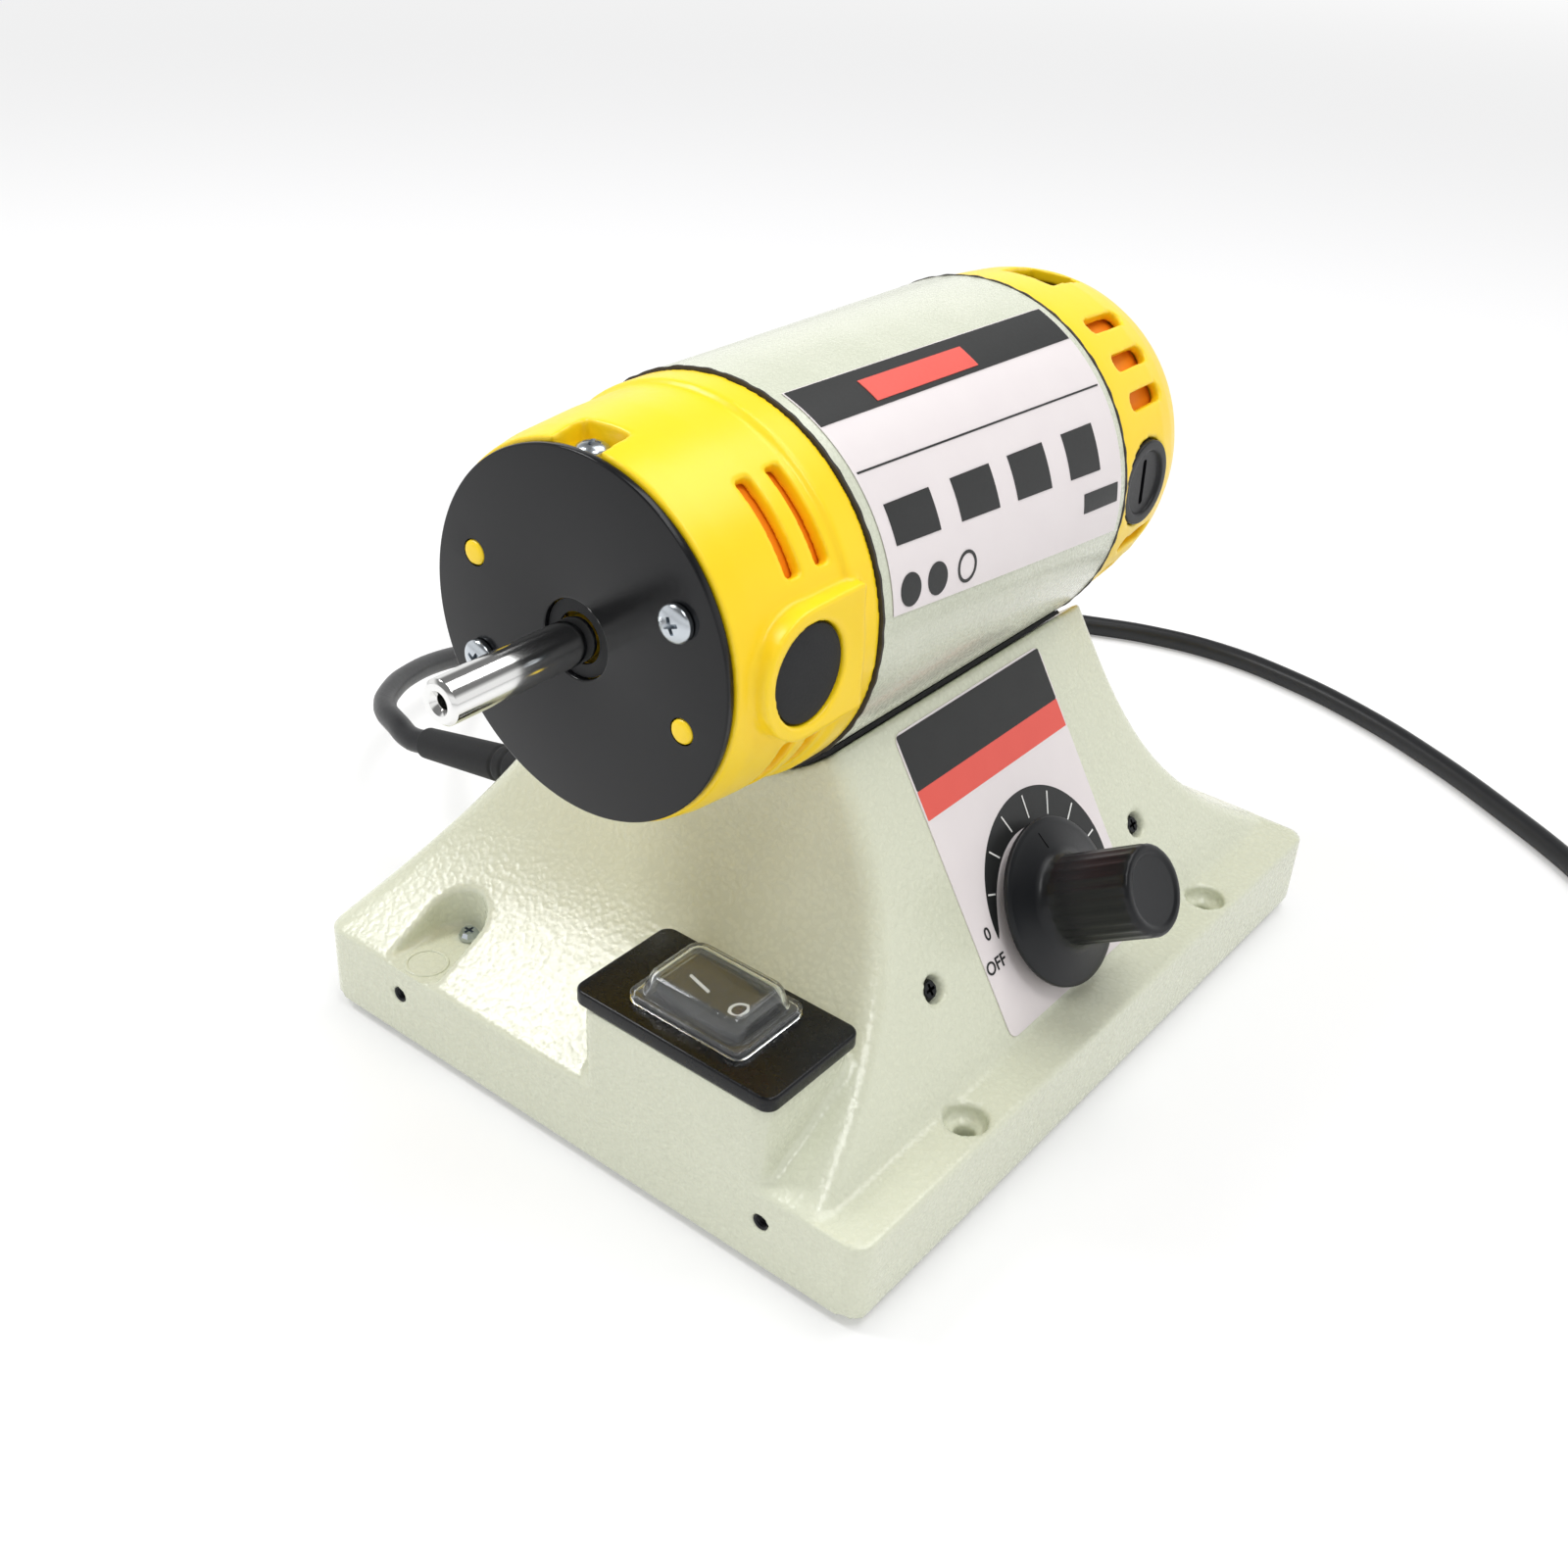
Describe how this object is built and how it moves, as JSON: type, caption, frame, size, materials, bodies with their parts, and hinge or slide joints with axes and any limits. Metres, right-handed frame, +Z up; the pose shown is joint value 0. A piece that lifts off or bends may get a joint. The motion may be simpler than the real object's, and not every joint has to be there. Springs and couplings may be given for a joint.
{
  "type": "bench polishing machine",
  "caption": "Small bench polishing motor: a round motor with a bare spindle, bolted on a sloping cast base with a speed knob, a covered rocker switch and a mains lead.",
  "frame": {"origin": "on the floor under the feet, in the middle of the machine's box without its lead", "axes": "+X to the knob side, -Y to the spindle's free end, +Z up"},
  "size_m": [0.5081, 0.3866, 0.1776],
  "materials": {
    "hammered_paint": "cream hammered paint, semi-gloss",
    "cover_steel": "dark sheet steel",
    "rubber": "matt black rubber",
    "cord_rubber": "satin black sheath",
    "yellow_plastic": "semi-gloss yellow",
    "black_plastic": "satin black",
    "knob_plastic": "semi-gloss black with a white line",
    "clear_plastic": "clear, soft",
    "polished_steel": "ground and polished",
    "bearing_steel": "ground",
    "zinc_steel": "zinc plated",
    "dark_steel": "blackened",
    "spring_steel": "bare",
    "laminated_steel": "laminations, oiled",
    "copper": "copper",
    "brass": "bare",
    "carbon": "matt carbon",
    "board": "green board",
    "aluminium": "bare"
  },
  "bodies": {
    "base": {"base_casting": "hammered_paint", "bottom_cover": "cover_steel", "foot_front_left": "rubber", "foot_front_right": "rubber", "foot_rear_left": "rubber", "foot_rear_right": "rubber", "cover_screw_front_left": "zinc_steel", "cover_screw_front_right": "zinc_steel", "cover_screw_rear_left": "zinc_steel", "cover_screw_rear_right": "zinc_steel", "pocket_screw_front": "zinc_steel", "pocket_screw_rear": "zinc_steel", "saddle_bolt_front": "zinc_steel", "saddle_bolt_rear": "zinc_steel", "saddle_gasket": "rubber", "motor_barrel": "hammered_paint", "front_end_cap": "yellow_plastic", "rear_end_cap": "yellow_plastic", "face_plate": "black_plastic", "face_plate_screw_right": "zinc_steel", "face_plate_screw_left": "zinc_steel", "cap_screw": "zinc_steel", "side_plug_right": "rubber", "brush_cap_right": "black_plastic", "brush_holder_right": "brass", "carbon_brush_right": "carbon", "brush_spring_right": "spring_steel", "side_plug_left": "rubber", "brush_cap_left": "black_plastic", "brush_holder_left": "brass", "carbon_brush_left": "carbon", "brush_spring_left": "spring_steel", "stator_core": "laminated_steel", "field_winding_upper": "copper", "field_winding_lower": "copper", "front_bearing_outer_race": "bearing_steel", "rear_bearing_outer_race": "bearing_steel", "control_board": "board", "triac_heat_sink": "aluminium", "panel_screw_front": "dark_steel", "panel_screw_rear": "dark_steel", "potentiometer_body": "zinc_steel", "potentiometer_nut": "brass", "switch_plate": "black_plastic", "switch_housing": "black_plastic", "switch_cover": "clear_plastic", "strain_relief": "cord_rubber", "cord_stretch": "cord_rubber", "cord_coil": "cord_rubber", "mains_plug": "cord_rubber"},
    "rotor": {"spindle": "polished_steel", "armature_core": "laminated_steel", "armature_winding": "copper", "commutator": "copper", "cooling_fan": "black_plastic", "front_bearing_inner_race": "bearing_steel", "rear_bearing_inner_race": "bearing_steel"},
    "speed_knob": {"speed_knob": "knob_plastic", "potentiometer_shaft": "aluminium"},
    "switch_rocker": {"switch_rocker": "black_plastic"}
  },
  "joints": [
    {"name": "spindle_spin", "type": "hinge", "parent": "base", "child": "rotor", "pos_m": [-0.01031, 0.01315, 0.13085], "axis": [0, 1, 0], "continuous": true},
    {"name": "knob_turn", "type": "hinge", "parent": "base", "child": "speed_knob", "pos_m": [0.0567, 0.01315, 0.0447], "axis": [0.8476, 0, 0.5306], "range_deg": [-177, 93]},
    {"name": "switch_rock", "type": "hinge", "parent": "base", "child": "switch_rocker", "pos_m": [0.02719, -0.07985, 0.0508], "axis": [0, 1, 0], "range_deg": [-14, 0]}
  ]
}
